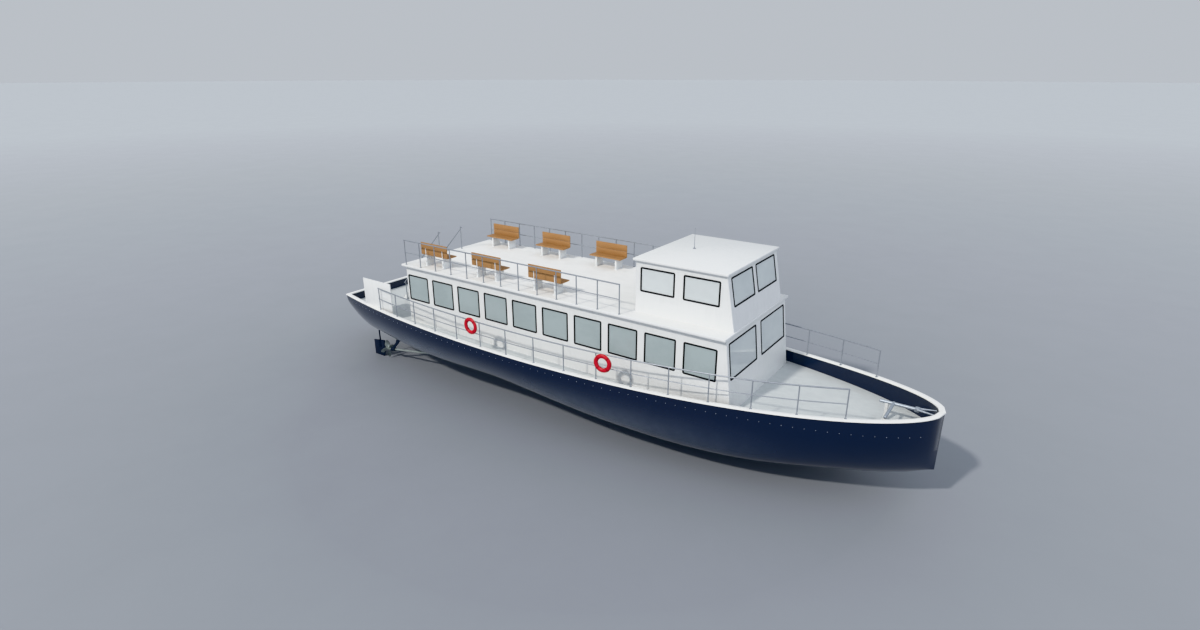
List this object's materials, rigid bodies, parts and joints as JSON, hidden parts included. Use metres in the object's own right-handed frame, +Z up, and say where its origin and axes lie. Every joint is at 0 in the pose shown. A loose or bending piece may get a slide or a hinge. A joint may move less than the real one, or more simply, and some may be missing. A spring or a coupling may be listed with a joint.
{
  "type": "passenger ferry",
  "caption": "Small displacement passenger ferry with an enclosed saloon, an open upper deck with benches, a raised wheelhouse forward and twin screws and rudders.",
  "frame": {"origin": "amidships on the centreline, at the height of the water that the ferry floats in", "axes": "+X forward to the bow, +Y to port, +Z up"},
  "size_m": [25.78, 7.5964, 7.9053],
  "materials": {
    "hull_paint": "glossy navy",
    "white_paint": "semi-gloss white",
    "deck_paint": "matt non-slip pale grey-green",
    "window_glass": "clear, pale grey",
    "seat_moulding": "matt grey",
    "rail_steel": "satin",
    "teak": "oiled",
    "ring_shell": "satin red",
    "galvanised_steel": "dull zinc",
    "shaft_metal": "satin"
  },
  "bodies": {
    "ferry": {"hull": "hull_paint", "bulwark_aft": "hull_paint", "bulwark_starboard": "hull_paint", "bulwark_port": "hull_paint", "bulwark_bow": "hull_paint", "main_deck": "deck_paint", "cap_rail_starboard": "white_paint", "cap_rail_port": "white_paint", "boarding_screen_starboard": "white_paint", "boarding_screen_port": "white_paint", "saloon_wall_starboard": "white_paint", "saloon_wall_port": "white_paint", "saloon_wall_front": "white_paint", "saloon_wall_aft": "white_paint", "saloon_glass_starboard": "window_glass", "saloon_glass_port": "window_glass", "saloon_glass_front": "window_glass", "saloon_seats_starboard": "seat_moulding", "saloon_seats_port": "seat_moulding", "upper_deck": "white_paint", "wheelhouse_wall_starboard": "white_paint", "wheelhouse_wall_port": "white_paint", "wheelhouse_wall_front": "white_paint", "wheelhouse_wall_aft": "white_paint", "wheelhouse_glass_starboard": "window_glass", "wheelhouse_glass_port": "window_glass", "wheelhouse_glass_front": "window_glass", "wheelhouse_roof": "white_paint", "antenna": "rail_steel", "helm_console": "seat_moulding", "helm_wheel": "teak", "helm_chair": "seat_moulding", "main_rail_starboard": "rail_steel", "main_rail_port": "rail_steel", "upper_rail_starboard": "rail_steel", "upper_rail_port": "rail_steel", "bench_starboard_1": "teak", "bench_starboard_2": "teak", "bench_starboard_3": "teak", "bench_port_1": "teak", "bench_port_2": "teak", "bench_port_3": "teak", "stair": "white_paint", "stair_handrail_starboard": "rail_steel", "stair_handrail_port": "rail_steel", "life_ring_starboard_1": "ring_shell", "life_ring_starboard_2": "ring_shell", "life_ring_port_1": "ring_shell", "life_ring_port_2": "ring_shell", "anchor": "galvanised_steel", "shaft_strut_starboard": "hull_paint", "shaft_strut_port": "hull_paint"},
    "saloon_door": {"saloon_door": "white_paint"},
    "wheelhouse_door": {"wheelhouse_door": "white_paint"},
    "propeller_starboard": {"propeller_starboard": "shaft_metal"},
    "propeller_port": {"propeller_port": "shaft_metal"},
    "rudder_starboard": {"rudder_starboard": "hull_paint"},
    "rudder_port": {"rudder_port": "hull_paint"}
  },
  "joints": [
    {"name": "propeller_starboard_spin", "type": "hinge", "parent": "ferry", "child": "propeller_starboard", "pos_m": [-10.86, -2.07, -1.39], "axis": [0.9876, 0, 0.157], "continuous": true},
    {"name": "propeller_port_spin", "type": "hinge", "parent": "ferry", "child": "propeller_port", "pos_m": [-10.86, 2.07, -1.39], "axis": [0.9876, 0, 0.157], "continuous": true},
    {"name": "rudder_starboard_turn", "type": "hinge", "parent": "ferry", "child": "rudder_starboard", "pos_m": [-11.4, -2.07, -1], "axis": [0, 0, 1], "range_deg": [-35, 35]},
    {"name": "rudder_port_turn", "type": "hinge", "parent": "ferry", "child": "rudder_port", "pos_m": [-11.4, 2.07, -1], "axis": [0, 0, 1], "range_deg": [-35, 35]},
    {"name": "saloon_door_swing", "type": "hinge", "parent": "ferry", "child": "saloon_door", "pos_m": [-8.34, -1.895, 1.9], "axis": [0, 0, 1], "range_deg": [0, 110]},
    {"name": "wheelhouse_door_swing", "type": "hinge", "parent": "ferry", "child": "wheelhouse_door", "pos_m": [3.07, -0.395, 4.2], "axis": [0, 0, 1], "range_deg": [0, 110]}
  ],
  "couplings": [
    {"joint": "rudder_port_turn", "follows": "rudder_starboard_turn", "ratio": 1}
  ]
}
